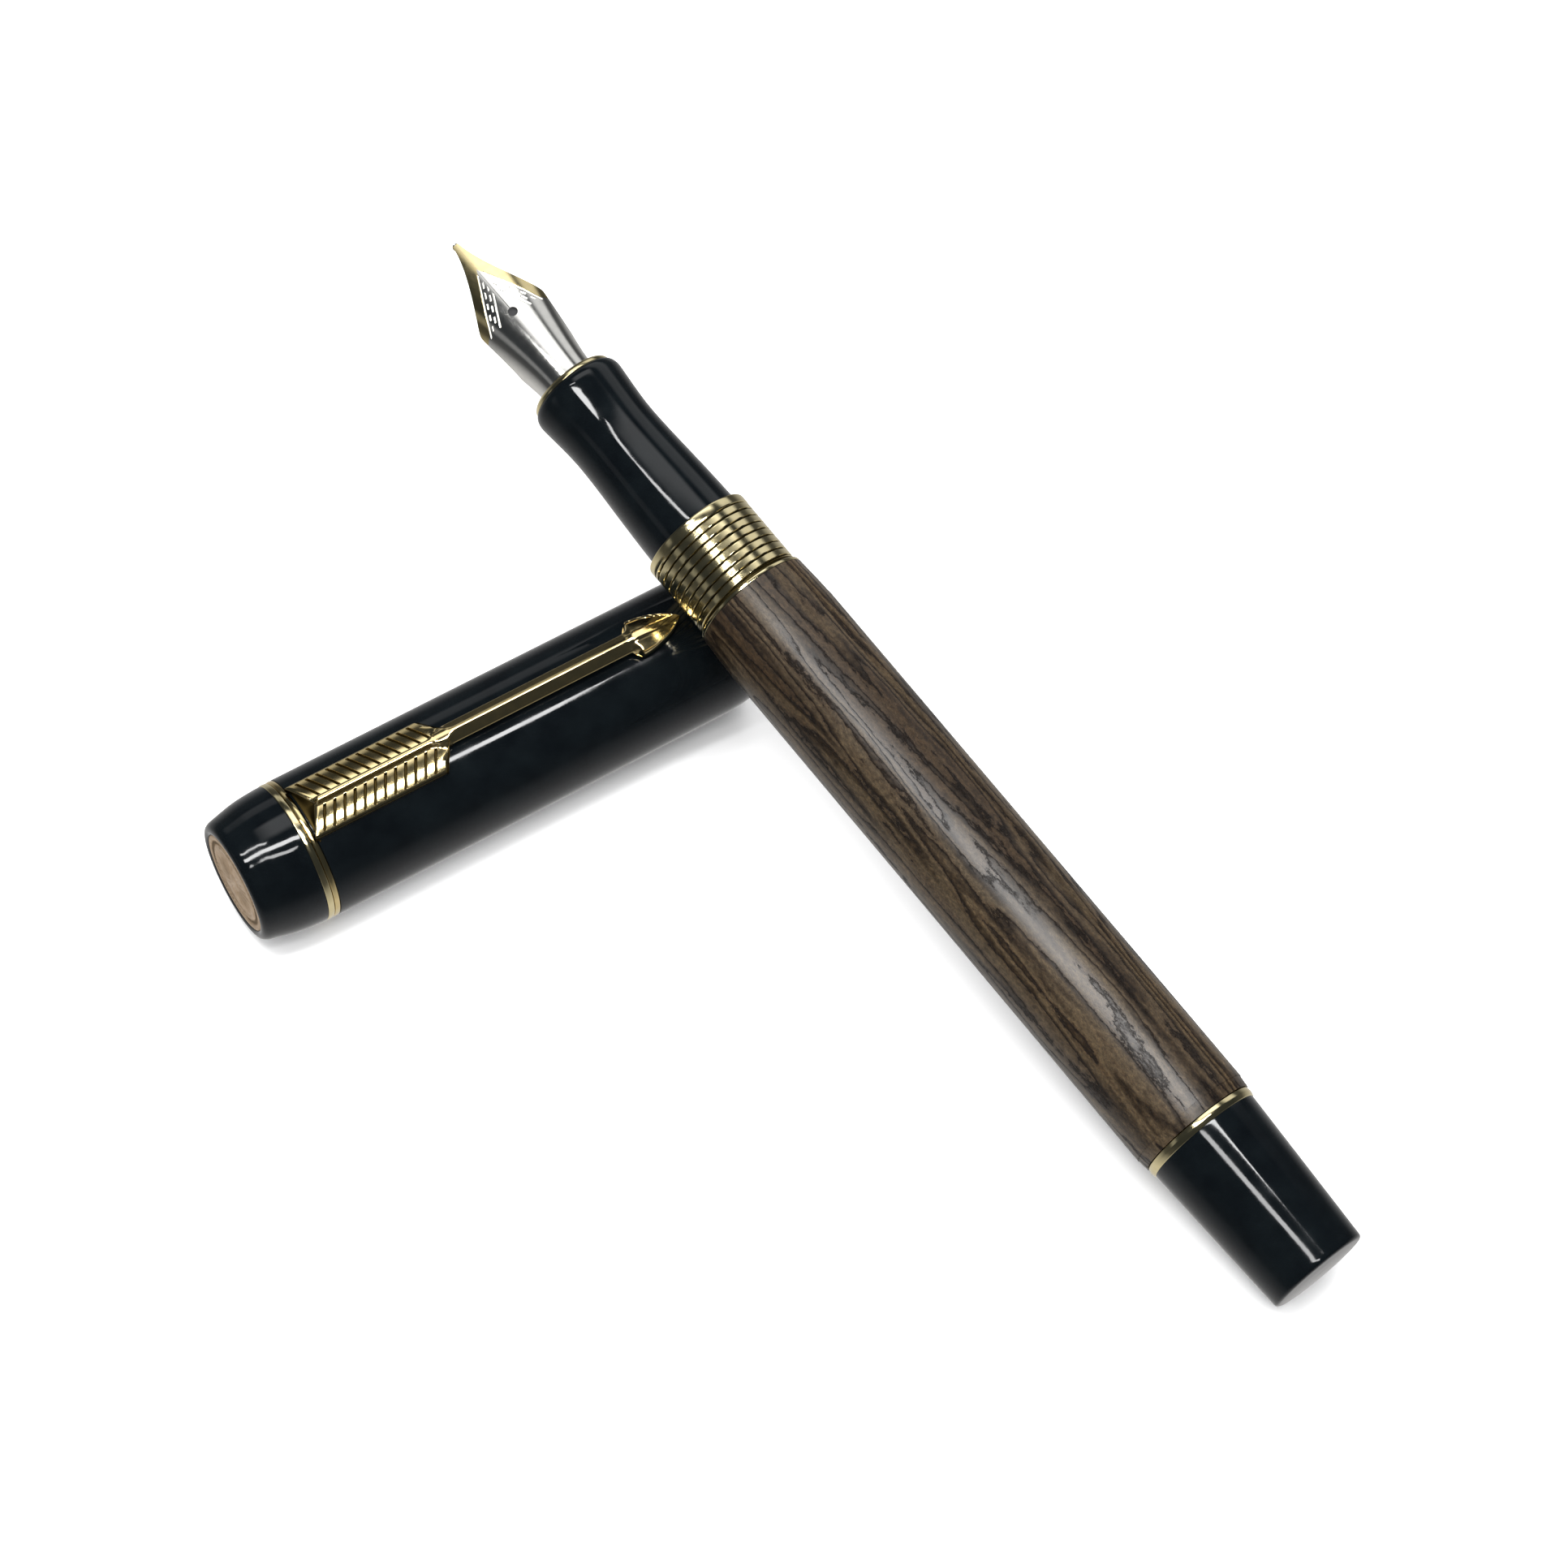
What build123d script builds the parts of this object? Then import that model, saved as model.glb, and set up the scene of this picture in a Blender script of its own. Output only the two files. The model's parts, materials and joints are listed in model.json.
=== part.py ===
from build123d import *
import os
from math import cos, pi, radians, sin, sqrt

# An uncapped fountain pen resting on its own cap. Millimetres, +Z up, floor at z = 0.
#
# Every piece is drawn in the frame of the half it belongs to, where local Z runs along the
# half and local X points to its upper side. Stations are distances along local Z:
#   cap   from the crown's face to the open mouth
#   pen   towards the nib's point at PEN_LENGTH, with the tail's face a little behind 0
# Threads are drawn as rings. The halves of each screwed joint clear one another, so that
# the joint can be drawn apart in a straight line.

# Driving dimensions of the pen
PEN_LENGTH = 130.0
BARREL_R = 6.24
LIP_RING_R = 5.99
TAIL_R = 5.17
TAIL_FACE = -1.2
END_CAP_FRONT_R = 5.88
TAIL_RING_R = 6.06
WAIST_R = 4.56
GRIP_LIP_R = 4.92
COLLAR_R = 5.75

# Driving dimensions of the cap
CAP_LENGTH = 55.3
CAP_R = 7.22
CAP_MOUTH_R = 6.2
CAP_BORE_R = 6.0

# How the pen lies: the tail stands on the floor and the collar rests on the cap's lip
TAIL_X = 66.7
TAIL_Y = -85.7
PEN_YAW = 98.03
NIB_ROLL = -14.0
CLIP_ROLL = 3.0
REST_GAP = 0.03

# Fits
GLUE_GAP = 0.02
RUNNING_GAP = 0.04

# Pen stations, tail to nib
TAIL_RING_START = 15.5
BARREL_START = 16.5
BARREL_FULL_START = 20.0
BARREL_FULL_END = 76.0
BARREL_END = 83.07
LIP_RING_END = 83.47
COLLAR_START = 83.5
COLLAR_BAND_START = 90.85
COLLAR_END = 91.9
WAIST_AT = 105.3
GRIP_LIP_AT = 110.0
GRIP_END = 110.95
TRIM_RING_END = 111.6
SHOULDER_AT = 120.6
BREATHER_AT = 120.3

# Barrel bore and its fittings
LINER_R = 5.3
LINER_BORE_R = 4.75
LINER_END = 74.0
PLUG_END = 22.5
PLUG_SPIGOT_R = 3.6
TAIL_SCREW_R = 2.0
SCREW_HEAD_END = 23.8
INSERT_CREST_R = 4.14
INSERT_ROOT_R = 4.3
O_RING_SEAT_START = 82.1
O_RING_SEAT_R = 4.95
O_RING_R = 0.38

# Section fittings
CONNECTOR_START = 76.5
CONNECTOR_END = 98.9
CONNECTOR_CREST_R = 4.1
CONNECTOR_ROOT_R = 3.95
CONNECTOR_BORE_R = 3.6
COLLAR_BORE_R = 4.52
GRIP_REAR_BORE_R = 4.22
HOUSING_R = 3.9
HOUSING_END = 109.4
HOUSING_WALL_END = 101.0
NIPPLE_R = 1.35
NIPPLE_START = 93.5
INK_PASSAGE_R = 0.7

# Nib and feed
NIB_TAIL_R = 2.95
NIB_THICKNESS = 0.28
NIB_TAIL_START = 103.0
NIB_FLARE_START = 112.0
NIB_END = 129.72
NIB_SHOULDER = 3.9
NIB_FRONT_R = 8.0
NIB_FRONT_CROWN = 1.32
TIPPING_R = 0.4
FEED_START = 101.1
FEED_END = 126.2

# Converter
CONVERTER_R = 3.55
CONVERTER_BORE_R = 3.0
CONVERTER_END = 98.5
CHAMBER_END = 92.5
CONVERTER_START = 51.0
CONVERTER_BAND_START = 44.0
KNOB_START = 29.5
KNOB_R = 3.4
ROD_START = 31.0
ROD_R = 1.6
PISTON_START = 56.0
PISTON_LENGTH = 4.0

# Cap stations, crown to mouth
MEDALLION_R = 5.15
CROWN_END = 6.45
CLIP_RING_START = 7.2
SHELL_START = 7.8
SHELL_TOP_WALL_END = 9.3
INNER_CAP_BORE_R = 5.4
CAP_THREAD_START = 48.6
CAP_THREAD_END = 52.3
LIP_ROUND_START = 50.4
LIP_R = 6.45
FINIAL_SCREW_R = 1.6

# Clip
CLIP_ROOT = 7.9
CLIP_PANEL_START = 9.2
CLIP_PANEL_END = 22.8
CLIP_HALF_WIDTH = 3.1
CLIP_INNER_R = 7.33
CLIP_PLATE_R = 8.05
CLIP_SHANK_HALF_WIDTH = 1.15
CLIP_SHANK_TOP_R = 8.75
CLIP_SPINE_TOP_R = 8.6
CLIP_HEAD_TOP_R = 8.95
CLIP_HEAD_START = 42.8
CLIP_TIP = 49.6
CLIP_HEAD_HALF_WIDTH = 1.95
CLIP_RIBS = 12


def turned(outline):
    """A solid of revolution about local Z for edges or (radius, station) corner points."""
    if not isinstance(outline[0], Edge):
        outline = Polyline(*[(r, 0, z) for r, z in outline], close=True).edges()
    return revolve(make_face(outline), Axis.Z, 360)


def tube(outer_r, inner_r, start, end):
    """A plain tube or ring."""
    return turned([(inner_r, start), (outer_r, start), (outer_r, end), (inner_r, end)])


def rod(radius, start, end):
    """A plain round bar."""
    return turned([(0, start), (radius, start), (radius, end), (0, end)])


def block(x_low, x_high, half_width, start, end):
    """A box centred across local Y."""
    size = Box(x_high - x_low, 2 * half_width, end - start)
    return Pos((x_low + x_high) / 2, 0, (start + end) / 2) * size


def ridges(crest_r, root_r, start, end, count):
    """Corner points of a row of pointed thread ridges between two stations."""
    pitch = (end - start) / count
    points = []
    for turn in range(count):
        base = start + turn * pitch
        points.append((root_r, base))
        points.append((crest_r, base + 0.35 * pitch))
        points.append((crest_r, base + 0.65 * pitch))
    points.append((root_r, end))
    return points


# The pen's barrel

def tail_curve():
    """The end cap's outer line, from the middle of its domed end to its shoulder."""
    dome = ThreePointArc((0, 0, TAIL_FACE), (2.4, 0, TAIL_FACE + 0.04),
                         (4.75, 0, TAIL_FACE + 0.16))
    corner = TangentArc((4.75, 0, TAIL_FACE + 0.16), (TAIL_R, 0, TAIL_FACE + 0.6),
                        tangent=dome % 1)
    side = Line((TAIL_R, 0, TAIL_FACE + 0.6), (END_CAP_FRONT_R, 0, TAIL_RING_START - 0.05))
    return [dome.edge(), corner.edge(), side.edge()]


def end_cap():
    front = TAIL_RING_START - 0.05
    hole = TAIL_SCREW_R + GLUE_GAP
    closing = Polyline((END_CAP_FRONT_R, 0, front), (hole, 0, front), (hole, 0, 6.5),
                       (0, 0, 6.5), (0, 0, TAIL_FACE))
    return turned(tail_curve() + closing.edges())


def tail_ring():
    """A narrow ring with a rounded rim, standing just proud of the end cap."""
    start = TAIL_RING_START
    middle = start + 0.5
    end = BARREL_START - GLUE_GAP
    hole = PLUG_SPIGOT_R + GLUE_GAP
    return turned([(hole, start), (5.93, start), (6.03, middle - 0.3), (TAIL_RING_R, middle),
                   (6.03, middle + 0.3), (5.96, end), (hole, end)])


def barrel_plug():
    hole = TAIL_SCREW_R + GLUE_GAP
    shoulder = BARREL_START + 0.1
    outer = LINER_BORE_R - GLUE_GAP
    return turned([(hole, TAIL_RING_START), (PLUG_SPIGOT_R, TAIL_RING_START),
                   (PLUG_SPIGOT_R, shoulder), (outer, shoulder), (outer, PLUG_END),
                   (hole, PLUG_END)])


def tail_screw():
    screw = rod(TAIL_SCREW_R, 7.0, PLUG_END + GLUE_GAP)
    head = rod(3.2, PLUG_END + GLUE_GAP, SCREW_HEAD_END)
    slot = block(-3.3, 3.3, 0.4, SCREW_HEAD_END - 0.6, SCREW_HEAD_END + 1)
    return screw + head - slot


def barrel_sleeve():
    rear = TangentArc((BARREL_R, 0, BARREL_FULL_START), (TAIL_RING_R, 0, BARREL_START),
                      tangent=(0, 0, -1))
    full = Line((BARREL_R, 0, BARREL_FULL_START), (BARREL_R, 0, BARREL_FULL_END))
    front = TangentArc((BARREL_R, 0, BARREL_FULL_END), (LIP_RING_R, 0, BARREL_END),
                       tangent=(0, 0, 1))
    closing = Polyline((LIP_RING_R, 0, BARREL_END), (LINER_R, 0, BARREL_END),
                       (LINER_R, 0, BARREL_START), (TAIL_RING_R, 0, BARREL_START))
    return turned([rear.edge(), full.edge(), front.edge()] + closing.edges())


def barrel_liner():
    return tube(LINER_R - GLUE_GAP, LINER_BORE_R, BARREL_START + 0.1, LINER_END)


def barrel_thread_insert():
    start = LINER_END + GLUE_GAP
    outer = LINER_R - GLUE_GAP
    end = BARREL_END - GLUE_GAP
    threads = ridges(INSERT_CREST_R, INSERT_ROOT_R, start + 2.4, O_RING_SEAT_START - 0.4, 7)
    inner = [(INSERT_CREST_R, start), (INSERT_CREST_R, start + 2)] + threads
    inner += [(INSERT_ROOT_R, O_RING_SEAT_START), (O_RING_SEAT_R, O_RING_SEAT_START),
              (O_RING_SEAT_R, end)]
    return turned(inner + [(outer, end), (outer, start)])


def barrel_lip_ring():
    return turned([(O_RING_SEAT_R, BARREL_END), (LIP_RING_R, BARREL_END), (LIP_RING_R, 83.3),
                   (5.9, LIP_RING_END), (O_RING_SEAT_R, LIP_RING_END)])


# The grip section

def cap_thread_collar():
    threads = ridges(COLLAR_R, COLLAR_R - 0.28, COLLAR_START + 0.25, COLLAR_BAND_START - 0.1, 8)
    outer = [(COLLAR_R - 0.28, COLLAR_START)] + threads
    outer += [(COLLAR_R, COLLAR_BAND_START), (COLLAR_R, COLLAR_END - 0.15),
              (COLLAR_R - 0.15, COLLAR_END)]
    return turned(outer + [(COLLAR_BORE_R, COLLAR_END), (COLLAR_BORE_R, COLLAR_START)])


def section_connector():
    threads = ridges(CONNECTOR_CREST_R, CONNECTOR_ROOT_R, CONNECTOR_START + 0.4, 82.0, 7)
    outer = [(CONNECTOR_ROOT_R, CONNECTOR_START)] + threads
    outer += [(CONNECTOR_CREST_R, COLLAR_START), (COLLAR_BORE_R - GLUE_GAP, COLLAR_START),
              (COLLAR_BORE_R - GLUE_GAP, COLLAR_END), (GRIP_REAR_BORE_R - GLUE_GAP, COLLAR_END),
              (GRIP_REAR_BORE_R - GLUE_GAP, CONNECTOR_END)]
    return turned(outer + [(CONNECTOR_BORE_R, CONNECTOR_END), (CONNECTOR_BORE_R, CONNECTOR_START)])


def section_o_ring():
    middle = CONNECTOR_CREST_R + GLUE_GAP + O_RING_R
    circle = Plane.XZ * Pos(middle, COLLAR_START - 0.55) * Circle(O_RING_R)
    return revolve(circle, Axis.Z, 360)


def grip_section():
    start = COLLAR_END + 0.05
    outer = Spline((5.035, 0, start), (4.8, 0, 98.0), (WAIST_R, 0, WAIST_AT),
                   (GRIP_LIP_R, 0, GRIP_LIP_AT), tangents=[(-0.03, 0, 1), (0.03, 0, 1)])
    lip = TangentArc((GRIP_LIP_R, 0, GRIP_LIP_AT), (4.55, 0, GRIP_END), tangent=outer % 1)
    closing = Polyline((4.55, 0, GRIP_END), (3.5, 0, GRIP_END), (3.5, 0, HOUSING_END + 0.1),
                       (HOUSING_R + GLUE_GAP, 0, HOUSING_END + 0.1),
                       (HOUSING_R + GLUE_GAP, 0, CONNECTOR_END + GLUE_GAP),
                       (GRIP_REAR_BORE_R, 0, CONNECTOR_END + GLUE_GAP),
                       (GRIP_REAR_BORE_R, 0, start), (5.035, 0, start))
    return turned([outer.edge(), lip.edge()] + closing.edges())


def section_trim_ring():
    start = GRIP_END + GLUE_GAP
    return turned([(3.5, start), (4.52, start), (4.45, 111.3), (4.22, TRIM_RING_END),
                   (3.75, TRIM_RING_END), (3.5, 111.3)])


def nib_housing():
    start = CONNECTOR_END + 0.05
    bore = NIB_TAIL_R + RUNNING_GAP
    return turned([(INK_PASSAGE_R, NIPPLE_START), (NIPPLE_R, NIPPLE_START), (NIPPLE_R, start),
                   (HOUSING_R, start), (HOUSING_R, HOUSING_END), (bore, HOUSING_END),
                   (bore, HOUSING_WALL_END), (INK_PASSAGE_R, HOUSING_WALL_END)])


# The nib and feed

def nib_arch(station):
    """Radius and centre height of the nib's arched upper surface at a station."""
    share = max(0, (station - NIB_FLARE_START) / (PEN_LENGTH - NIB_FLARE_START))
    radius = NIB_TAIL_R + (NIB_FRONT_R - NIB_TAIL_R) * share ** 1.5
    crown = NIB_TAIL_R - (NIB_TAIL_R - NIB_FRONT_CROWN) * share ** 1.6
    return radius, crown - radius


def arched_form(inset):
    """The space under the nib's upper surface, moved inwards by inset."""
    stations = [NIB_FLARE_START + step * 3.05 for step in range(7)]
    sections = []
    for station in stations:
        radius, height = nib_arch(station)
        sections.append(Plane(origin=(height, 0, station)) * Circle(radius - inset))
    tail = rod(NIB_TAIL_R - inset, FEED_START - 1, NIB_FLARE_START)
    return tail + loft(sections)


def side_prism(points):
    """A wide prism over (height, station) points, seen from the side."""
    face = make_face(Polyline(*[(x, 0, z) for x, z in points], close=True).edges())
    return extrude(face, amount=8, dir=(0, 1, 0), both=True)


def nib_outline():
    """The nib seen from above: straight flanks, round shoulders and slender tines."""
    half = [(NIB_TAIL_R + 0.05, NIB_TAIL_START), (NIB_TAIL_R + 0.05, TRIM_RING_END),
            (NIB_SHOULDER - 0.06, SHOULDER_AT - 0.3)]
    tines = Spline((0, NIB_SHOULDER - 0.06, SHOULDER_AT - 0.3),
                   (0, NIB_SHOULDER - 0.1, SHOULDER_AT + 0.5), (0, 1.9, 124.7),
                   (0, 0.86, 127.4), (0, 0.34, NIB_END),
                   tangents=[(0, 0.12, 1), (0, -0.1, 1)])
    flank = Polyline(*[(0, y, z) for y, z in half])
    tip = Line((0, 0.34, NIB_END), (0, 0, NIB_END))
    middle = Line((0, 0, NIB_END), (0, 0, NIB_TAIL_START))
    heel = Line((0, 0, NIB_TAIL_START), (0, half[0][0], NIB_TAIL_START))
    right = make_face(flank.edges() + [tines.edge(), tip.edge(), middle.edge(), heel.edge()])
    left = mirror(right, Plane.XZ)
    return extrude(right, amount=5, dir=(1, 0, 0), both=True) + \
        extrude(left, amount=5, dir=(1, 0, 0), both=True)


def tipping_ball():
    return Pos(NIB_FRONT_CROWN - 0.35, 0, PEN_LENGTH - TIPPING_R) * Sphere(TIPPING_R)


def nib():
    sheet = arched_form(0) - arched_form(NIB_THICKNESS)
    kept = side_prism([(4, 102), (4, 131), (0.5, 131), (-0.2, 119), (-0.7, 115.5),
                       (-1.6, 111.0), (-1.6, 102)])
    shaped = sheet & nib_outline() & kept
    breather = Pos(2, 0, BREATHER_AT) * Rot(0, 90, 0) * Cylinder(0.5, 4)
    slit = block(-1, 4, 0.05, BREATHER_AT, PEN_LENGTH)
    return shaped - breather - slit - tipping_ball()


def nib_tipping():
    return tipping_ball() - block(-1, 4, 0.05, BREATHER_AT, PEN_LENGTH + 1)


def feed():
    under_nib = arched_form(NIB_THICKNESS + GLUE_GAP)
    profile = side_prism([(4, FEED_START), (4, FEED_END), (1.0, FEED_END), (-2.4, 113.0),
                          (-3.2, 111.5), (-3.2, FEED_START)])
    outline = make_face(Polyline((0, 3.2, FEED_START), (0, 3.2, 112.0), (0, 2.6, 119.0),
                                 (0, 0.7, FEED_END), (0, -0.7, FEED_END), (0, -2.6, 119.0),
                                 (0, -3.2, 112.0), (0, -3.2, FEED_START), close=True).edges())
    core = under_nib & profile & extrude(outline, amount=5, dir=(1, 0, 0), both=True)
    heel = rod(NIB_TAIL_R, FEED_START, 111.5) & block(-3.2, -1.65, 3.2, FEED_START, 111.5)
    body = core + heel
    for fin in range(11):
        station = 112.3 + fin * 0.75
        body -= block(-3.4, 0.1, 4, station, station + 0.32)
    return body


# The converter

def converter_tube():
    return turned([(CONVERTER_BORE_R, CONVERTER_START), (CONVERTER_R, CONVERTER_START),
                   (CONVERTER_R, CONVERTER_END - 1), (CONVERTER_R - 0.5, CONVERTER_END),
                   (NIPPLE_R + 0.03, CONVERTER_END), (NIPPLE_R + 0.03, CHAMBER_END),
                   (CONVERTER_BORE_R, CHAMBER_END - 1)])


def converter_band():
    plug = CONVERTER_BORE_R - GLUE_GAP
    rear = CONVERTER_BAND_START
    return turned([(ROD_R + RUNNING_GAP, rear), (CONVERTER_R + 0.08, rear),
                   (CONVERTER_R + 0.08, CONVERTER_START - GLUE_GAP),
                   (plug, CONVERTER_START - GLUE_GAP), (plug, CONVERTER_START + 3),
                   (ROD_R + RUNNING_GAP, CONVERTER_START + 3)])


def converter_knob():
    end = CONVERTER_BAND_START - 0.05
    knob = turned([(0, KNOB_START), (KNOB_R - 0.4, KNOB_START), (KNOB_R, KNOB_START + 0.5),
                   (KNOB_R, end), (ROD_R + RUNNING_GAP, end), (ROD_R + RUNNING_GAP, ROD_START - 0.1),
                   (0, ROD_START - 0.1)])
    flutes = 18
    for flute in range(flutes):
        angle = 2 * pi * flute / flutes
        groove = Pos(KNOB_R * cos(angle), KNOB_R * sin(angle), 36.5) * Cylinder(0.28, 11)
        knob -= groove
    return knob


def piston_rod():
    threads = ridges(ROD_R, ROD_R - 0.2, ROD_START + 0.5, PISTON_START - 1.5, 12)
    return turned([(0, ROD_START), (ROD_R - 0.2, ROD_START)] + threads
                  + [(ROD_R - 0.2, PISTON_START), (0.9, PISTON_START),
                     (0.9, PISTON_START + 2.4), (0, PISTON_START + 2.4)])


def seal_stations():
    return [PISTON_START + 0.9, PISTON_START + PISTON_LENGTH - 0.9]


def piston_head():
    end = PISTON_START + PISTON_LENGTH
    outer_r = CONVERTER_BORE_R - 0.09
    outer = [(outer_r, PISTON_START + GLUE_GAP)]
    for station in seal_stations():
        outer += [(outer_r, station - 0.3), (2.4, station - 0.3), (2.4, station + 0.3),
                  (outer_r, station + 0.3)]
    outer += [(outer_r, end), (0, end), (0, PISTON_START + 2.45), (0.92, PISTON_START + 2.45),
              (0.92, PISTON_START + GLUE_GAP)]
    return turned(outer)


def piston_seals():
    rings = []
    minor_r = 0.27
    middle = CONVERTER_BORE_R - 0.02 - minor_r
    for station in seal_stations():
        circle = Plane.XZ * Pos(middle, station) * Circle(minor_r)
        rings.append(revolve(circle, Axis.Z, 360).solid())
    return Compound(children=rings)


# The cap

def cap_lip():
    """The outer line of the cap's rounded lip, from the straight wall to the end face."""
    return Spline((CAP_R - 0.1, 0, LIP_ROUND_START), (6.97, 0, 53.3), (LIP_R, 0, CAP_LENGTH),
                  tangents=[(0, 0, 1), (-0.6, 0, 1)])


def cap_shell():
    hole = FINIAL_SCREW_R + GLUE_GAP
    closing = Polyline((LIP_R, 0, CAP_LENGTH), (CAP_MOUTH_R, 0, CAP_LENGTH),
                       (CAP_MOUTH_R, 0, CAP_THREAD_END), (CAP_BORE_R, 0, CAP_THREAD_END),
                       (CAP_BORE_R, 0, SHELL_TOP_WALL_END), (hole, 0, SHELL_TOP_WALL_END),
                       (hole, 0, SHELL_START), (CAP_R, 0, SHELL_START),
                       (CAP_R - 0.1, 0, LIP_ROUND_START))
    return turned([cap_lip().edge()] + closing.edges())


def crown():
    hole = FINIAL_SCREW_R + GLUE_GAP
    dome = Spline((MEDALLION_R + 0.45, 0, 0.0), (6.35, 0, 0.95), (6.85, 0, 3.0),
                  (7.16, 0, CROWN_END), tangents=[(1, 0, 0.15), (0.05, 0, 1)])
    closing = Polyline((7.16, 0, CROWN_END), (3.95, 0, CROWN_END), (3.95, 0, 7.15),
                       (hole, 0, 7.15), (hole, 0, 2.0), (2.6, 0, 2.0), (2.6, 0, 0.8),
                       (MEDALLION_R + GLUE_GAP, 0, 0.8), (MEDALLION_R + GLUE_GAP, 0, 0.1),
                       (MEDALLION_R + 0.45, 0, 0.0))
    return turned([dome.edge()] + closing.edges())


def medallion():
    return turned([(0, 0.78), (0, 0.1), (3.6, 0.14), (3.75, 0.26), (4.25, 0.26), (4.4, 0.14),
                   (MEDALLION_R, 0.14), (MEDALLION_R, 0.78)])


def finial_screw():
    screw = rod(FINIAL_SCREW_R, 1.9, SHELL_TOP_WALL_END)
    head = rod(2.5, 0.85, 1.9)
    slot = block(-2.6, 2.6, 0.35, 0, 1.3)
    return screw + head - slot


def crown_ring():
    return turned([(3.97, CROWN_END + GLUE_GAP), (7.17, CROWN_END + GLUE_GAP), (CAP_R, 6.6),
                   (CAP_R, 7.05), (7.15, 7.15), (3.97, 7.15)])


def clip_ring():
    hole = FINIAL_SCREW_R + GLUE_GAP
    return turned([(hole, CLIP_RING_START), (7.15, CLIP_RING_START), (CAP_R, 7.28), (CAP_R, 7.7),
                   (7.17, 7.75), (hole, 7.75)])


def inner_cap():
    outer = CAP_BORE_R - GLUE_GAP
    start = SHELL_TOP_WALL_END + 0.05
    end = CAP_THREAD_START - 0.05
    return turned([(0, start), (outer, start), (outer, end), (INNER_CAP_BORE_R + 0.2, end),
                   (INNER_CAP_BORE_R, end - 0.4), (INNER_CAP_BORE_R, start + 0.6),
                   (0, start + 0.6)])


def cap_thread_ring():
    outer = CAP_BORE_R - GLUE_GAP
    root = COLLAR_R + 0.07
    inner = ridges(root - 0.24, root, CAP_THREAD_START, CAP_THREAD_END, 4)
    return turned(inner + [(outer, CAP_THREAD_END), (outer, CAP_THREAD_START)])


# The clip

def clip_head_outline():
    """The clip's leaf-shaped end seen from above."""
    widest = 45.6
    bow = Spline((0, 0.9, CLIP_HEAD_START), (0, CLIP_HEAD_HALF_WIDTH, widest), (0, 1.3, 48.2),
                 (0, 0, CLIP_TIP), tangents=[(0, 0.8, 1), (0, -1, 0.25)])
    middle = Line((0, 0, CLIP_TIP), (0, 0, CLIP_HEAD_START))
    back = Line((0, 0, CLIP_HEAD_START), (0, 0.9, CLIP_HEAD_START))
    right = make_face([bow.edge(), middle.edge(), back.edge()])
    return right + mirror(right, Plane.XZ)


def clip_plan():
    """The clip's ribbed panel seen from above, with its corners cut towards the shank."""
    w = CLIP_HALF_WIDTH
    points = [(w, CLIP_ROOT), (w, CLIP_PANEL_END), (CLIP_SHANK_HALF_WIDTH, CLIP_PANEL_END + 1.4),
              (-CLIP_SHANK_HALF_WIDTH, CLIP_PANEL_END + 1.4), (-w, CLIP_PANEL_END),
              (-w, CLIP_ROOT)]
    face = make_face(Polyline(*[(0, y, z) for y, z in points], close=True).edges())
    return extrude(face, amount=12, dir=(1, 0, 0))


def clip_head():
    """The leaf: ridged along its middle, thinning towards its tip, with a foot beneath."""
    w = CLIP_HEAD_HALF_WIDTH + 0.1
    leaf = extrude(clip_head_outline(), amount=12, dir=(1, 0, 0))
    roof = make_face(Polyline((7.6, -w, 42), (8.1, -w, 42), (CLIP_HEAD_TOP_R, 0, 42),
                              (8.1, w, 42), (7.6, w, 42), close=True).edges())
    side = side_prism([(7.6, 42), (CLIP_HEAD_TOP_R, 42), (CLIP_HEAD_TOP_R, 45.0),
                       (8.25, CLIP_TIP + 0.1), (7.6, CLIP_TIP + 0.1)])
    foot = Pos(8.0, 0, 46.5) * Sphere(0.74)
    return (leaf & extrude(roof, amount=9, dir=(0, 0, 1)) & side) + foot


def clip_arm():
    plate = tube(CLIP_PLATE_R, CLIP_INNER_R, CLIP_ROOT, CLIP_PANEL_END + 2) & clip_plan()
    shank = block(CLIP_PLATE_R - 0.1, CLIP_SHANK_TOP_R, CLIP_SHANK_HALF_WIDTH, 21.0, 44.0)
    spine = block(CLIP_INNER_R + 0.1, CLIP_SPINE_TOP_R, 0.6, CLIP_ROOT + 0.8, 23.0)
    arm = plate + shank + spine + clip_head()
    pitch = (CLIP_PANEL_END - CLIP_PANEL_START) / CLIP_RIBS
    for rib in range(CLIP_RIBS):
        station = CLIP_PANEL_START + (rib + 0.5) * pitch
        for side in (-1, 1):
            arm -= Pos(CLIP_PLATE_R + 0.3, side * 1.8, station) * Box(1.1, 2.0, 0.36 * pitch)
    return arm


# Placing the two halves

def cap_place():
    lean = radians(CLIP_ROLL)
    return Plane(origin=(0, 0, CAP_R), x_dir=(0, -sin(lean), cos(lean)), z_dir=(1, 0, 0)).location


def tail_height(tilt):
    """Height of the tail's centre when its lowest point is on the floor."""
    points = [edge @ (step / 60) for edge in tail_curve() for step in range(61)]
    return max(point.X * cos(tilt) - point.Z * sin(tilt) for point in points)


def pen_place(tilt):
    yaw = radians(PEN_YAW)
    along = Vector(cos(yaw) * cos(tilt), sin(yaw) * cos(tilt), sin(tilt))
    level = Vector(0, 0, 1)
    top = (level - along * level.dot(along)).normalized()
    tail = Vector(TAIL_X, TAIL_Y, tail_height(tilt))
    return Plane(origin=tail, x_dir=top, z_dir=along).location * Rot(0, 0, NIB_ROLL)


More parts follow.
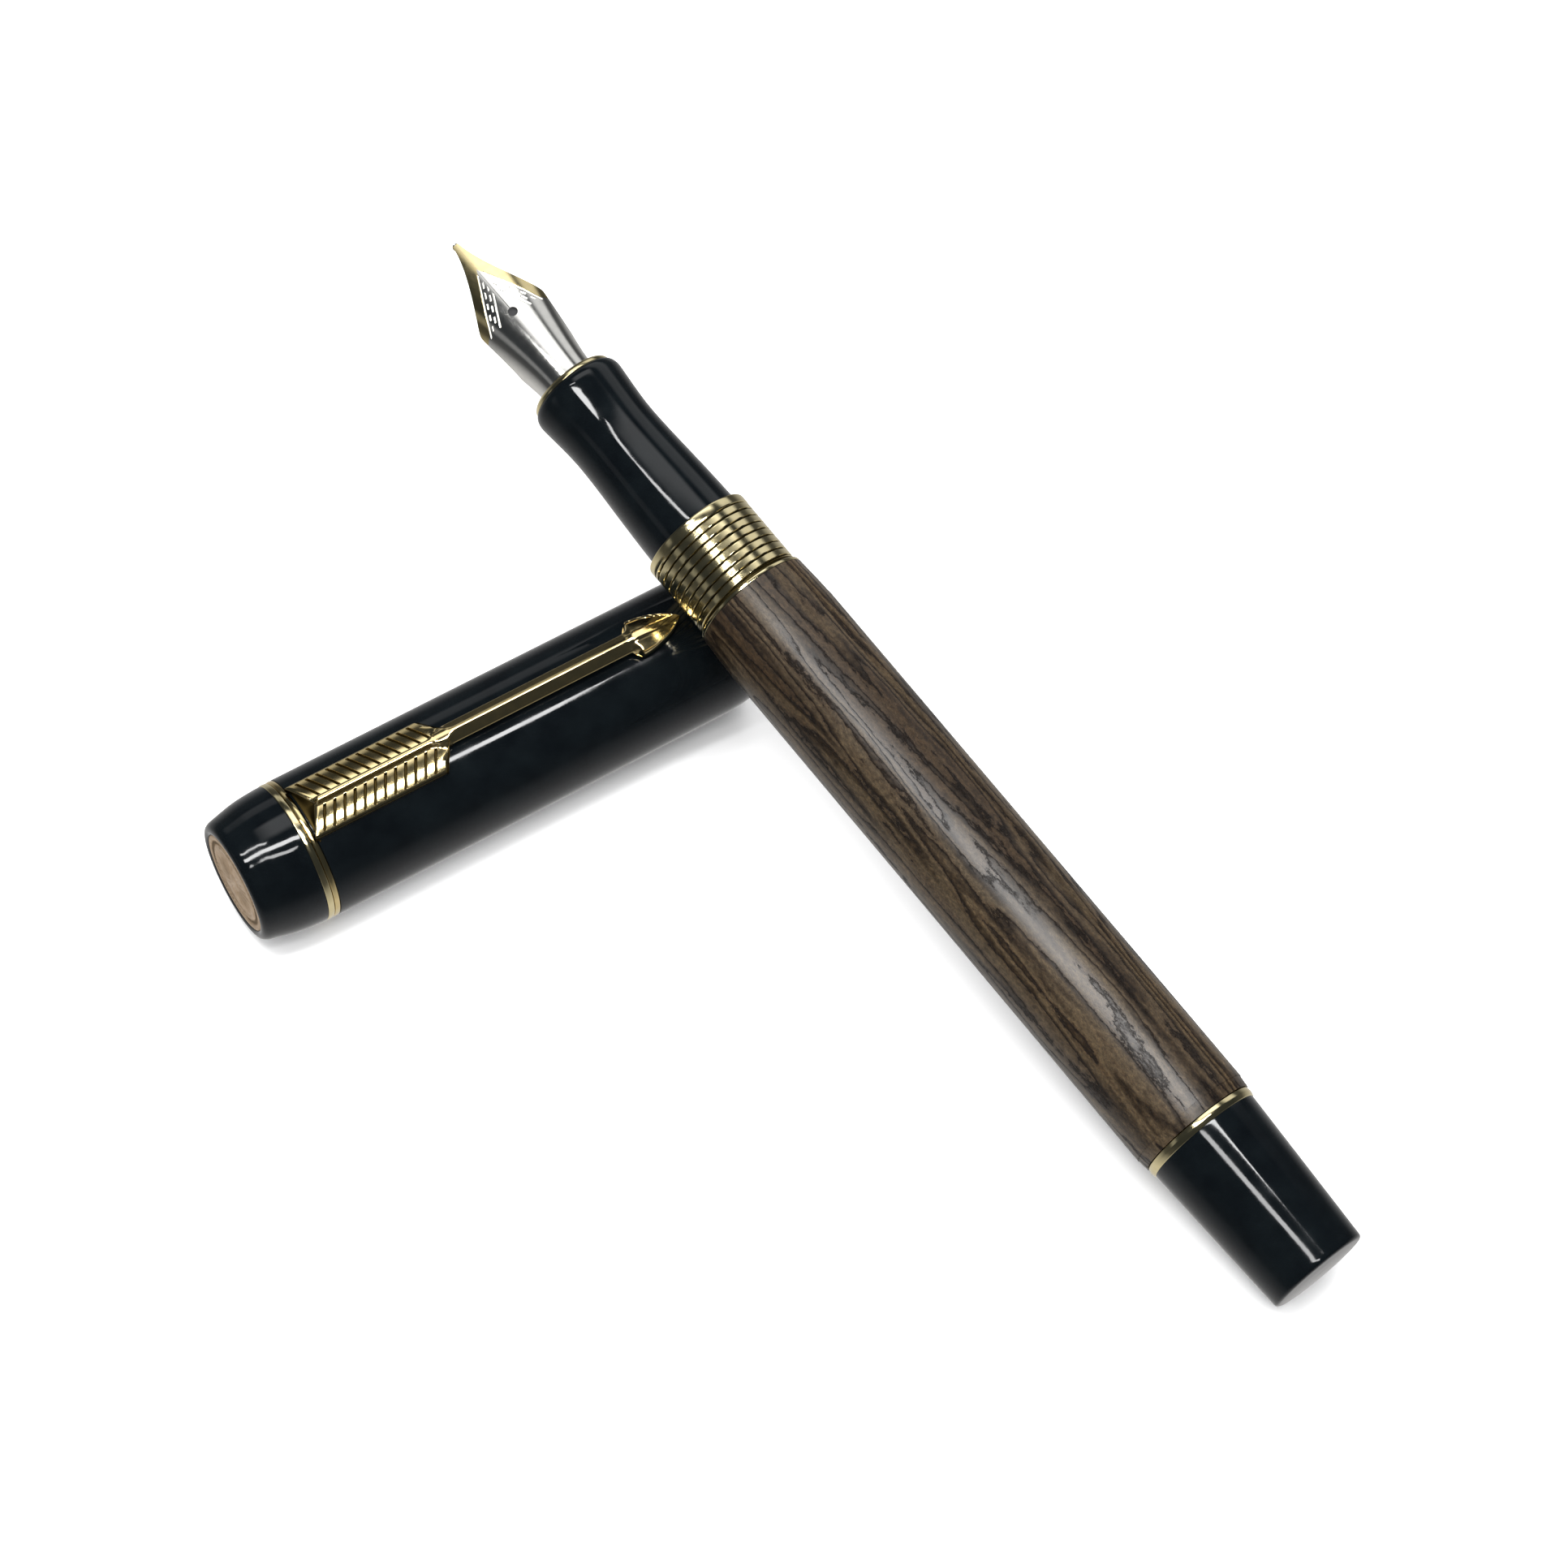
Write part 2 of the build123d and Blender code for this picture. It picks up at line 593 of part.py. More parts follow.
def resting_tilt():
    """The tilt at which the pen's middle comes to rest on the cap's lip."""
    cap_body = cap_place() * cap_shell()
    middle = turned([(0, 66), (BARREL_R, 66), (BARREL_R, 78), (LIP_RING_R, LIP_RING_END),
                     (COLLAR_R, COLLAR_START), (COLLAR_R, COLLAR_END), (0, COLLAR_END)])
    low, high = radians(6), radians(14)
    for _ in range(18):
        tilt = (low + high) / 2
        if (pen_place(tilt) * middle).distance_to(cap_body) > REST_GAP:
            high = tilt
        else:
            low = tilt
    return high


TILT = resting_tilt()

PEN_PIECES = [end_cap, tail_ring, barrel_plug, tail_screw, barrel_sleeve, barrel_liner,
              barrel_thread_insert, barrel_lip_ring, cap_thread_collar, section_connector,
              section_o_ring, grip_section, section_trim_ring, nib_housing, nib, nib_tipping,
              feed, converter_tube, converter_band, converter_knob, piston_rod, piston_head,
              piston_seals]
CAP_PIECES = [cap_shell, crown, medallion, finial_screw, crown_ring, clip_ring, inner_cap,
              cap_thread_ring, clip_arm]


def placed_pieces():
    """Every piece in the place of its half, by name."""
    placed = {}
    for pieces, place in ((CAP_PIECES, cap_place()), (PEN_PIECES, pen_place(TILT))):
        for piece in pieces:
            placed[piece.__name__] = place * piece()
    return placed


def underside_middle(pieces):
    """The move that brings the middle of the whole object's underside to the origin."""
    box = Compound(children=[Compound(piece.solids()) for piece in pieces]).bounding_box()
    return Pos(-box.center().X, -box.center().Y, -box.min.Z)


PLACED = placed_pieces()
MIDDLE = underside_middle(PLACED.values())
os.makedirs("parts", exist_ok=True)
for name, piece in PLACED.items():
    export_step(MIDDLE * piece, f"parts/{name}.step")
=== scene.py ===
import json
from math import asin, cos, pi, radians, sin, sqrt

import bmesh
import bpy
import numpy as np
from mathutils import Matrix, Vector

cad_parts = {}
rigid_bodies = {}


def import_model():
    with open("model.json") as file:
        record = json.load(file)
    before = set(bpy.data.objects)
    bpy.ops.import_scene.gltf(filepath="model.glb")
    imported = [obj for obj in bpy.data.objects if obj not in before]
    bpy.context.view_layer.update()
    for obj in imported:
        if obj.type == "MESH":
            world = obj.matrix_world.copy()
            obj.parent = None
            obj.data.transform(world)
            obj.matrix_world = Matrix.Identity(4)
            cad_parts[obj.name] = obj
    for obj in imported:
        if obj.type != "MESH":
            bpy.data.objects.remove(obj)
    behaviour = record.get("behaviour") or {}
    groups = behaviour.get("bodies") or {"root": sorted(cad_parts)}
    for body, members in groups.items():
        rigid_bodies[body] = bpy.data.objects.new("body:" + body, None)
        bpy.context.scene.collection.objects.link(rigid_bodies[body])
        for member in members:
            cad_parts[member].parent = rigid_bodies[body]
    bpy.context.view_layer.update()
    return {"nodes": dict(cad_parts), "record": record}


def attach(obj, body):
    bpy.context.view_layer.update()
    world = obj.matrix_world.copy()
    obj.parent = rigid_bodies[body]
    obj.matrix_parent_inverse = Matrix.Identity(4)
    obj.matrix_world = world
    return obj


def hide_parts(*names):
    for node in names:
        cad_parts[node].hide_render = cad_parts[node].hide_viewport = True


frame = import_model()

# Each half of the pen has its own frame in millimetres, as in the CAD model: local Z runs
# along the half, local X points to its upper side. The cap is measured from the crown's
# face to the mouth, the pen from the tail end to the nib's point.
MM = 0.001

MOUNTS = {mount["name"]: mount for mount in frame["record"]["mounts"]}
CAP_MOUTH_STATION = 53.8
BARREL_MIDDLE_STATION = 48.0
CLIP_ROLL = radians(3)
NIB_ROLL = radians(-14)


def half_frame(mount, direction, station, roll):
    """The matrix from a half's own millimetres to the row frame's metres."""
    along = Vector(MOUNTS[mount]["axis"]).normalized() * direction
    origin = Vector(MOUNTS[mount]["pos_m"]) - along * station * MM
    up = (Vector((0, 0, 1)) - along * along.z).normalized()
    across = along.cross(up)
    top = up * cos(roll) + across * sin(roll)
    turn = Matrix((top, along.cross(top), along)).transposed().to_4x4()
    return Matrix.Translation(origin) @ turn @ Matrix.Scale(MM, 4)


CAP = half_frame("cap_mouth", 1, CAP_MOUTH_STATION, CLIP_ROLL)
PEN = half_frame("barrel_shaft", -1, BARREL_MIDDLE_STATION, NIB_ROLL)


# Outlines

def rounded(corners, closed=True, steps=5):
    """An outline of (radius, station) points from corners given with their rounding radius."""
    points = []
    count = len(corners)
    for index, (r, s, rounding) in enumerate(corners):
        here = Vector((r, s))
        inside = closed or 0 < index < count - 1
        if rounding <= 0 or not inside:
            points.append(here)
            continue
        before = Vector(corners[index - 1][:2]) - here
        after = Vector(corners[(index + 1) % count][:2]) - here
        half = before.angle(after) / 2
        reach = min(rounding / np.tan(half), before.length * 0.45, after.length * 0.45)
        start = here + before.normalized() * reach
        end = here + after.normalized() * reach
        for step in range(steps + 1):
            t = step / steps
            points.append(start * (1 - t) ** 2 + here * 2 * t * (1 - t) + end * t ** 2)
    return [(point.x, point.y) for point in points]


def smooth_line(points, steps=8):
    """A smooth outline through (radius, station) points."""
    knots = [np.array(p, float) for p in points]
    knots = [2 * knots[0] - knots[1]] + knots + [2 * knots[-1] - knots[-2]]
    line = []
    for k in range(1, len(knots) - 2):
        a, b, c, d = knots[k - 1:k + 3]
        for step in range(steps):
            t = step / steps
            line.append(tuple(0.5 * (2 * b + (c - a) * t + (2 * a - 5 * b + 4 * c - d) * t ** 2
                                     + (3 * b - a - 3 * c + d) * t ** 3)))
    line.append(tuple(knots[-2]))
    return line


def smooth_step(start, end, value):
    """Rises smoothly from 0 at start to 1 at end; start may lie above end."""
    t = min(1.0, max(0.0, (value - start) / (end - start)))
    return t * t * (3 - 2 * t)


# Meshes

def finish_mesh(name, vertices, faces, place, body, node, material, sharp=40):
    """A piece from local millimetres: smooth shaded, riding its body, standing for its node."""
    mesh = bpy.data.meshes.new(name)
    mesh.from_pydata([tuple(v) for v in vertices], [], faces)
    local = mesh.attributes.new("local", "FLOAT_VECTOR", "POINT")
    local.data.foreach_set("vector", np.array(vertices, np.float32).ravel())
    work = bmesh.new()
    work.from_mesh(mesh)
    bmesh.ops.remove_doubles(work, verts=work.verts, dist=1e-5)
    bmesh.ops.recalc_face_normals(work, faces=work.faces)
    work.to_mesh(mesh)
    work.free()
    mesh.transform(place)
    mesh.polygons.foreach_set("use_smooth", [True] * len(mesh.polygons))
    mesh.set_sharp_from_angle(angle=radians(sharp))
    mesh.materials.append(material)
    piece = bpy.data.objects.new(name, mesh)
    bpy.context.scene.collection.objects.link(piece)
    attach(piece, body)
    if node:
        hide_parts(node)
    return piece


def measure(piece, name, value_at):
    """Stores a value for every point of a piece, worked out from its local millimetres."""
    mesh = piece.data
    places = np.zeros(len(mesh.vertices) * 3, np.float32)
    mesh.attributes["local"].data.foreach_get("vector", places)
    values = [value_at(x, y, s) for x, y, s in places.reshape(-1, 3).tolist()]
    mesh.attributes.new(name, "FLOAT", "POINT").data.foreach_set("value", values)


def lathe(name, outline, place, body, node, material, segments=144, shape=None,
          sharp=40):
    """A solid turned about local Z from a closed outline; shape may move its points."""
    vertices = []
    for r, s in outline:
        for k in range(segments):
            angle = 2 * pi * k / segments
            radius, station = shape(r, s, angle) if shape else (r, s)
            vertices.append((radius * cos(angle), radius * sin(angle), station))
    faces = []
    rows = len(outline)
    for row in range(rows):
        below = row * segments
        above = (row + 1) % rows * segments
        for k in range(segments):
            after = (k + 1) % segments
            faces.append((below + k, below + after, above + after, above + k))
    return finish_mesh(name, vertices, faces, place, body, node, material, sharp)


def plate(name, rows, columns, upper, lower, keep, place, body, node, material, sharp=40):
    """A closed sheet between two grids of points, with walls round every kept region."""
    count = len(columns)
    vertices = [upper(s, v) for s in rows for v in columns]
    vertices += [lower(s, v) for s in rows for v in columns]
    shift = len(rows) * count
    faces = []
    edges = {}
    for i in range(len(rows) - 1):
        for j in range(count - 1):
            if not keep(i, j):
                continue
            corner = i * count + j
            loop = (corner, corner + 1, corner + count + 1, corner + count)
            faces.append(loop)
            faces.append(tuple(shift + k for k in reversed(loop)))
            for a, b in zip(loop, loop[1:] + loop[:1]):
                edges[frozenset((a, b))] = None if frozenset((a, b)) in edges else (a, b)
    for pair in edges.values():
        if pair:
            a, b = pair
            faces.append((b, a, shift + a, shift + b))
    used = sorted({k for face in faces for k in face})
    place_of = {k: n for n, k in enumerate(used)}
    vertices = [vertices[k] for k in used]
    faces = [tuple(place_of[k] for k in face) for face in faces]
    return finish_mesh(name, vertices, faces, place, body, node, material, sharp)


# Materials

class Nodes:
    """Short calls for building a material's node tree."""

    def __init__(self, name):
        self.material = bpy.data.materials.new(name)
        self.material.use_nodes = True
        self.tree = self.material.node_tree
        self.shader = self.tree.nodes["Principled BSDF"]

    def link(self, source, node, socket):
        if isinstance(source, (int, float)):
            node.inputs[socket].default_value = source
        elif isinstance(source, (tuple, list)):
            node.inputs[socket].default_value = (*source, 1.0)[:4] if len(source) == 3 else source
        else:
            self.tree.links.new(source, node.inputs[socket])

    def set(self, **values):
        for name, value in values.items():
            self.link(value, self.shader, name.replace("_", " ").title().replace("Ior", "IOR"))

    def local(self):
        node = self.tree.nodes.new("ShaderNodeAttribute")
        node.attribute_name = "local"
        return node.outputs["Vector"]

    def attribute(self, name):
        node = self.tree.nodes.new("ShaderNodeAttribute")
        node.attribute_name = name
        return node.outputs["Fac"]

    def stretch(self, vector, scale):
        node = self.tree.nodes.new("ShaderNodeVectorMath")
        node.operation = "MULTIPLY"
        self.tree.links.new(vector, node.inputs[0])
        node.inputs[1].default_value = scale
        return node.outputs[0]

    def noise(self, vector, scale, detail=4, roughness=0.55, distortion=0.0):
        node = self.tree.nodes.new("ShaderNodeTexNoise")
        self.tree.links.new(vector, node.inputs["Vector"])
        node.inputs["Scale"].default_value = scale
        node.inputs["Detail"].default_value = detail
        node.inputs["Roughness"].default_value = roughness
        node.inputs["Distortion"].default_value = distortion
        return node.outputs["Fac"]

    def ramp(self, source, stops):
        node = self.tree.nodes.new("ShaderNodeValToRGB")
        self.link(source, node, 0)
        elements = node.color_ramp.elements
        for _ in range(len(stops) - 2):
            elements.new(0.5)
        for element, (position, color) in zip(elements, stops):
            element.position = position
            element.color = (*color, 1) if len(color) == 3 else (color[0],) * 3 + (1,)
        return node.outputs["Color"]

    def mix(self, share, a, b, mode="MIX"):
        node = self.tree.nodes.new("ShaderNodeMix")
        node.data_type = "RGBA"
        node.blend_type = mode
        self.link(share, node, 0)
        self.link(a, node, 6)
        self.link(b, node, 7)
        return node.outputs[2]

    def math(self, operation, a, b=0.0, c=0.0):
        node = self.tree.nodes.new("ShaderNodeMath")
        node.operation = operation
        self.link(a, node, 0)
        self.link(b, node, 1)
        self.link(c, node, 2)
        return node.outputs[0]

    def bump(self, height, strength, distance):
        node = self.tree.nodes.new("ShaderNodeBump")
        node.inputs["Strength"].default_value = strength
        node.inputs["Distance"].default_value = distance * MM
        self.link(height, node, "Height")
        self.tree.links.new(node.outputs["Normal"], self.shader.inputs["Normal"])


def black_resin():
    nodes = Nodes("black_resin")
    local = nodes.local()
    smudge = nodes.noise(local, 0.35, detail=5)
    color = nodes.ramp(smudge, [(0.3, (0.0018, 0.0026, 0.0034)), (0.75, (0.0034, 0.005, 0.006))])
    rough = nodes.ramp(smudge, [(0.35, (0.05,)), (0.8, (0.11,))])
    nodes.set(base_color=color, roughness=rough, ior=1.42)
    nodes.bump(nodes.noise(local, 0.9, detail=2), 0.05, 0.05)
    return nodes.material


def polished_metal(name, color, worn, roughness):
    """Metal with a faint haze; where a piece marks its recesses, they are dull, and their colour
    is darkened to near-black as painted shade.
    """
    nodes = Nodes(name)
    local = nodes.local()
    haze = nodes.noise(local, 1.3, detail=6)
    recess = nodes.attribute("recess")
    # Painted shade: a near-black copy of the colour for the marked recesses, standing in for the
    # shade that falls in them.
    recess_painted_shade = tuple(c * c * 0.07 for c in color)
    shine = nodes.ramp(haze, [(0.3, (roughness,)), (0.8, (roughness * 1.9,))])
    nodes.set(base_color=nodes.mix(recess, nodes.mix(haze, color, worn), recess_painted_shade), metallic=1.0,
              roughness=nodes.mix(recess, shine, (0.5, 0.5, 0.5)))
    nodes.bump(nodes.noise(nodes.stretch(local, (9, 9, 1.2)), 2.0, detail=3), 0.08, 0.02)
    return nodes.material


def dark_wood():
    """Open-grained dark wood: layered growth lines with ragged dark edges, fine mottling
    and pores, under a thin satin finish."""
    nodes = Nodes("dark_wood")
    local = nodes.local()
    growth = nodes.noise(nodes.stretch(local, (0.17, 0.17, 0.016)), 1.0, detail=3,
                         roughness=0.5, distortion=0.35)
    ragged = nodes.noise(nodes.stretch(local, (2.2, 2.2, 0.8)), 1.0, detail=9, roughness=0.75)
    mottle = nodes.noise(nodes.stretch(local, (3.4, 3.4, 1.9)), 1.0, detail=10, roughness=0.8)
    pores = nodes.noise(nodes.stretch(local, (8.0, 8.0, 2.2)), 1.0, detail=5, roughness=0.7)
    layers = nodes.math("MULTIPLY_ADD", growth, 13.0, nodes.math("MULTIPLY", ragged, 1.15))
    saw = nodes.math("FRACT", layers)
    base = nodes.ramp(saw, [(0.0, (0.004, 0.002, 0.0008)), (0.14, (0.008, 0.0043, 0.0017)),
                            (0.34, (0.022, 0.0140, 0.0066)), (0.62, (0.046, 0.0325, 0.0180)),
                            (0.9, (0.030, 0.0190, 0.0095)), (0.98, (0.005, 0.0026, 0.001))])
    tint = nodes.ramp(growth, [(0.38, (0.55, 0.46, 0.38)), (0.52, (1.0, 1.0, 1.0)),
                               (0.66, (1.25, 1.2, 1.1))])
    color = nodes.mix(1.0, base, tint, "MULTIPLY")
    spots = nodes.ramp(mottle, [(0.36, (0.42, 0.38, 0.34)), (0.50, (1.0, 1.0, 1.0)),
                                (0.66, (1.9, 1.85, 1.75))])
    color = nodes.mix(1.0, color, spots, "MULTIPLY")
    pore_mask = nodes.ramp(pores, [(0.33, (0.2,)), (0.41, (1.0,))])
    color = nodes.mix(0.9, color, pore_mask, "MULTIPLY")
    finish = nodes.ramp(saw, [(0.0, (0.1,)), (0.16, (0.75,)), (0.93, (0.8,)), (1.0, (0.1,))])
    nodes.set(base_color=color, roughness=nodes.ramp(mottle, [(0.3, (0.62,)), (0.7, (0.42,))]),
              ior=1.5, specular_ior_level=0.2, coat_weight=finish, coat_roughness=0.3,
              coat_tint=(1.0, 0.97, 0.9))
    edge = nodes.ramp(saw, [(0.0, (0.0,)), (0.1, (0.8,)), (0.9, (1.0,)), (1.0, (0.0,))])
    height = nodes.math("MULTIPLY_ADD", mottle, 0.9, nodes.math("MULTIPLY", edge, 0.55))
    height = nodes.math("MULTIPLY_ADD", pore_mask, 0.3, height)
    nodes.bump(height, 0.5, 0.16)
    return nodes.material


def clear_plastic():
    nodes = Nodes("clear_plastic")
    nodes.set(base_color=(0.93, 0.97, 0.98), roughness=0.04, ior=1.49,
              transmission_weight=1.0)
    return nodes.material


def moulded_plastic(name, color, roughness):
    nodes = Nodes(name)
    grain = nodes.noise(nodes.local(), 6.0, detail=5)
    shade = nodes.mix(grain, color, tuple(c * 1.6 for c in color))
    nodes.set(base_color=shade, roughness=roughness, ior=1.48)
    nodes.bump(grain, 0.15, 0.02)
    return nodes.material


def nib_metal():
    """Silver middle with gold edges, split along the border; its engraved lines are matt."""
    nodes = Nodes("nib_metal")
    local = nodes.local()
    haze = nodes.noise(local, 1.6, detail=6)
    gold = nodes.mix(haze, (0.93, 0.80, 0.46), (0.84, 0.68, 0.34))
    silver = nodes.mix(haze, (0.90, 0.89, 0.85), (0.80, 0.79, 0.75))
    share = nodes.ramp(nodes.attribute("gold_share"), [(0.3, (0.0,)), (0.7, (1.0,))])
    etched = nodes.ramp(nodes.attribute("etched"), [(0.3, (0.0,)), (0.75, (1.0,))])
    color = nodes.mix(etched, nodes.mix(share, silver, gold), (0.86, 0.84, 0.76))
    rough = nodes.ramp(haze, [(0.3, (0.13,)), (0.8, (0.21,))])
    nodes.set(base_color=color, metallic=nodes.math("SUBTRACT", 1.0, etched),
              roughness=nodes.mix(etched, rough, (0.6, 0.6, 0.6)))
    nodes.bump(nodes.noise(nodes.stretch(local, (8, 8, 1)), 2.0, detail=3), 0.06, 0.02)
    return nodes.material


RESIN = black_resin()
GOLD = polished_metal("gold_trim", (0.93, 0.77, 0.42), (0.80, 0.62, 0.29), 0.09)
PALE_GOLD = polished_metal("pale_gold", (0.95, 0.84, 0.52), (0.86, 0.73, 0.40), 0.1)
BRONZE = polished_metal("medallion_gold", (0.82, 0.62, 0.42), (0.60, 0.43, 0.27), 0.3)
BRASS = polished_metal("liner_brass", (0.80, 0.62, 0.34), (0.62, 0.45, 0.22), 0.24)
STEEL = polished_metal("steel", (0.62, 0.62, 0.63), (0.48, 0.48, 0.49), 0.28)
TIPPING = polished_metal("tipping_metal", (0.84, 0.78, 0.62), (0.70, 0.64, 0.50), 0.16)
WOOD = dark_wood()
CLEAR = clear_plastic()
FEED = moulded_plastic("feed_plastic", (0.012, 0.012, 0.013), 0.42)
INNER = moulded_plastic("inner_plastic", (0.015, 0.015, 0.016), 0.5)
RUBBER = moulded_plastic("seal_rubber", (0.02, 0.02, 0.02), 0.7)
NIB = nib_metal()

SLOT_MATERIALS = {
    "black_resin": RESIN, "gold_trim": GOLD, "medallion_gold": BRONZE, "liner_brass": BRASS,
    "steel": STEEL, "tipping_metal": TIPPING, "dark_wood": WOOD, "clear_plastic": CLEAR,
    "feed_plastic": FEED, "inner_plastic": INNER, "seal_rubber": RUBBER, "nib_metal": NIB,
}


# The cap

CAP_R = 7.22


def cap_shell():
    """The cap's tube, with its rounded lip, its mouth and the bore for the inner cap."""
    lip = smooth_line([(7.12, 50.4), (7.09, 51.9), (6.97, 53.3), (6.77, 54.5), (6.47, 55.27)])
    rim = rounded([(6.45, 55.3, 0), (6.33, 55.3, 0.06), (6.2, 55.18, 0.06), (6.2, 52.3, 0.02)],
                  closed=False)
    bore = [(6.0, 52.3), (6.0, 9.3), (1.62, 9.3), (1.62, 7.8)]
    shoulder = rounded([(6.0, 7.8, 0), (CAP_R, 7.8, 0.1), (CAP_R - 0.04, 30, 0)], closed=False)
    lathe("cap_shell_body", lip + rim + bore + shoulder, CAP, "cap", "cap_shell",
          RESIN, segments=256)


def crown():
    """The domed top of the cap, hollowed for the medallion, the screw and its head."""
    dome = smooth_line([(5.3, 0.06), (5.62, 0.02), (6.0, 0.18), (6.28, 0.62), (6.49, 1.45),
                        (6.70, 2.34), (6.88, 3.2), (7.04, 4.4), (7.14, 5.8), (7.16, 6.45)])
    inside = [(3.95, 6.45), (3.95, 7.15), (1.62, 7.15), (1.62, 2.0), (2.6, 2.0), (2.6, 0.8),
              (5.17, 0.8), (5.17, 0.15)]
    lathe("crown_dome", dome + inside, CAP, "cap", "crown", RESIN,
          segments=256)


def medallion():
    """A disc with a raised rim, a beaded ring and a plain sunburst of rounded rays."""
    rays = 24
    face = [(r, 0.2) for r in np.linspace(0.05, 3.5, 40)]
    face += [(3.6, 0.14), (3.75, 0.11), (3.9, 0.14), (4.0, 0.22)]
    face += [(r, 0.22) for r in np.linspace(4.05, 4.55, 6)]
    face += [(4.65, 0.14), (4.8, 0.11), (5.0, 0.12), (5.12, 0.17), (5.14, 0.3)]
    back = [(5.14, 0.78), (0.05, 0.78)]

    def relief(r, s, angle):
        if 0.9 < r < 3.4 and s < 0.3:
            fade = sin(pi * (r - 0.9) / 2.5) ** 0.5
            s -= 0.09 * fade * abs(cos(angle * rays / 2))
        if r < 0.9:
            s -= 0.09 * sqrt(max(0.0, 1 - (r / 0.9) ** 2))
        if 4.02 < r < 4.57 and s < 0.3:
            bead = max(0.0, cos(angle * 60)) * sqrt(max(0, 1 - ((r - 4.3) / 0.27) ** 2))
            s -= 0.1 * bead
        return r, s

    lathe("medallion_face", face + back, CAP, "cap", "medallion", BRONZE,
          segments=960, shape=relief, sharp=60)


def gold_rings():
    crown_ring = rounded([(4.0, 6.47, 0), (7.19, 6.47, 0.12), (CAP_R, 6.8, 0.3),
                          (7.19, 7.15, 0.12), (4.0, 7.15, 0)])
    lathe("crown_ring_band", crown_ring, CAP, "cap", "crown_ring", PALE_GOLD,
          segments=256)
    clip_ring = rounded([(1.64, 7.2, 0), (7.17, 7.2, 0.1), (CAP_R, 7.48, 0.3),
                         (7.17, 7.75, 0.1), (1.64, 7.75, 0)])
    lathe("clip_ring_band", clip_ring, CAP, "cap", "clip_ring", GOLD,
          segments=256)


def inner_cap():
    """The cup that closes round the nib."""
    cup = rounded([(0.02, 9.36, 0), (5.97, 9.36, 0.2), (5.97, 48.5, 0.1), (5.65, 48.5, 0.1),
                   (5.42, 48.0, 0.1), (5.42, 9.96, 0.6), (0.02, 9.96, 0)])
    lathe("inner_cap_cup", cup, CAP, "cap", "inner_cap", INNER)


# The clip

RIB_START, RIB_PITCH, RIBS, RIB_SLANT = 9.75, 1.1, 12, 0.56
PANEL_END, PANEL_HALF_WIDTH, PANEL_R = 23.78, 3.05, 8.0
SHANK_START, SHANK_HALF_WIDTH, SHANK_TOP = 23.94, 1.1, 8.76
HEAD_START, HEAD_WIDEST, HEAD_HALF_WIDTH, CLIP_TIP = 43.5, 44.5, 1.95, 49.58


def clip_half_width(row):
    """Half the clip's width: flared foot, panel, narrow shank and leaf-shaped head."""
    if row < SHANK_START:
        flare = 0.22 * smooth_step(9.2, 7.92, row)
        shoulder = max(0.0, (row - PANEL_END) / (SHANK_START - PANEL_END))
        return PANEL_HALF_WIDTH + flare - (PANEL_HALF_WIDTH - SHANK_HALF_WIDTH) * shoulder
    if row < HEAD_WIDEST:
        widening = smooth_step(HEAD_START, HEAD_WIDEST, row)
        return SHANK_HALF_WIDTH + (HEAD_HALF_WIDTH - SHANK_HALF_WIDTH) * widening
    rest = (row - HEAD_WIDEST) / (CLIP_TIP - HEAD_WIDEST)
    return HEAD_HALF_WIDTH * max(0.0, 1 - rest ** 1.9) ** 0.85


def clip_station(row, y):
    """The panel's rows lean back from the spine to its edges; the others run straight."""
    lean = smooth_step(7.95, 9.4, row) * smooth_step(27.0, SHANK_START, row)
    return row - RIB_SLANT * abs(y) * lean


def rib_rows():
    """Rows close together at the corners of every gap between two ribs."""
    steps = (0, 0.14, 0.28, 0.335, 0.35, 0.40, 0.45, 0.50, 0.55, 0.60, 0.65, 0.665, 0.72, 0.86)
    return [RIB_START + (rib + step) * RIB_PITCH for rib in range(RIBS) for step in steps]


def shank_top(y):
    """Two flat facets that meet in a rounded ridge, with softened outer edges."""
    edge = max(0.0, abs(y) - SHANK_HALF_WIDTH + 0.12) / 0.12
    return SHANK_TOP - 0.6 * (sqrt(y * y + 0.02) - 0.141) - 0.1 * edge ** 2


def panel_top(row, y):
    """The panel: a raised spine, slanting ribs in a sunk field, and a plain rim."""
    spine_edge = 0.5 + 0.62 * smooth_step(21.8, SHANK_START, row)
    spine = 1 - smooth_step(spine_edge - 0.3, spine_edge, abs(y))
    spine *= smooth_step(9.1, 9.6, row)
    height = sqrt(PANEL_R ** 2 - y * y) + spine * (0.66 - 0.25 * y * y)
    place = (row - RIB_START) / RIB_PITCH
    if 0 <= place < RIBS:
        from_middle = abs(place % 1 - 0.5)
        gap = 1 - smooth_step(0.08, 0.165, from_middle)
        across = smooth_step(spine_edge + 0.05, spine_edge + 0.14, abs(y))
        across *= smooth_step(2.86, 2.78, abs(y))
        height -= across * 0.3 * gap
    edge = max(0.0, abs(y) - PANEL_HALF_WIDTH + 0.1) / 0.1
    return height - 0.06 * edge ** 2 - 0.55 * smooth_step(9.7, 7.95, row)


def head_top(row, y):
    """A leaf with a rounded midrib, hollow sides and a raised rim."""
    rest = max(0.0, (row - HEAD_WIDEST) / (CLIP_TIP - HEAD_WIDEST))
    inward = clip_half_width(row) - abs(y)
    hollow = smooth_step(0.3, 0.52, abs(y)) * smooth_step(0.1, 0.26, inward)
    edge = max(0.0, 0.08 - inward) / 0.08
    return 8.95 - 0.62 * rest ** 1.5 - 0.11 * y * y - 0.16 * hollow - 0.08 * edge ** 2


def clip_top(row, y):
    """Height of the clip's upper face above the cap's axis."""
    if row < 25:
        share = smooth_step(SHANK_START - 0.3, SHANK_START + 0.5, row)
        return panel_top(row, y) * (1 - share) + shank_top(y) * share
    share = smooth_step(HEAD_START, HEAD_WIDEST, row)
    return shank_top(y) * (1 - share) + head_top(row, y) * share


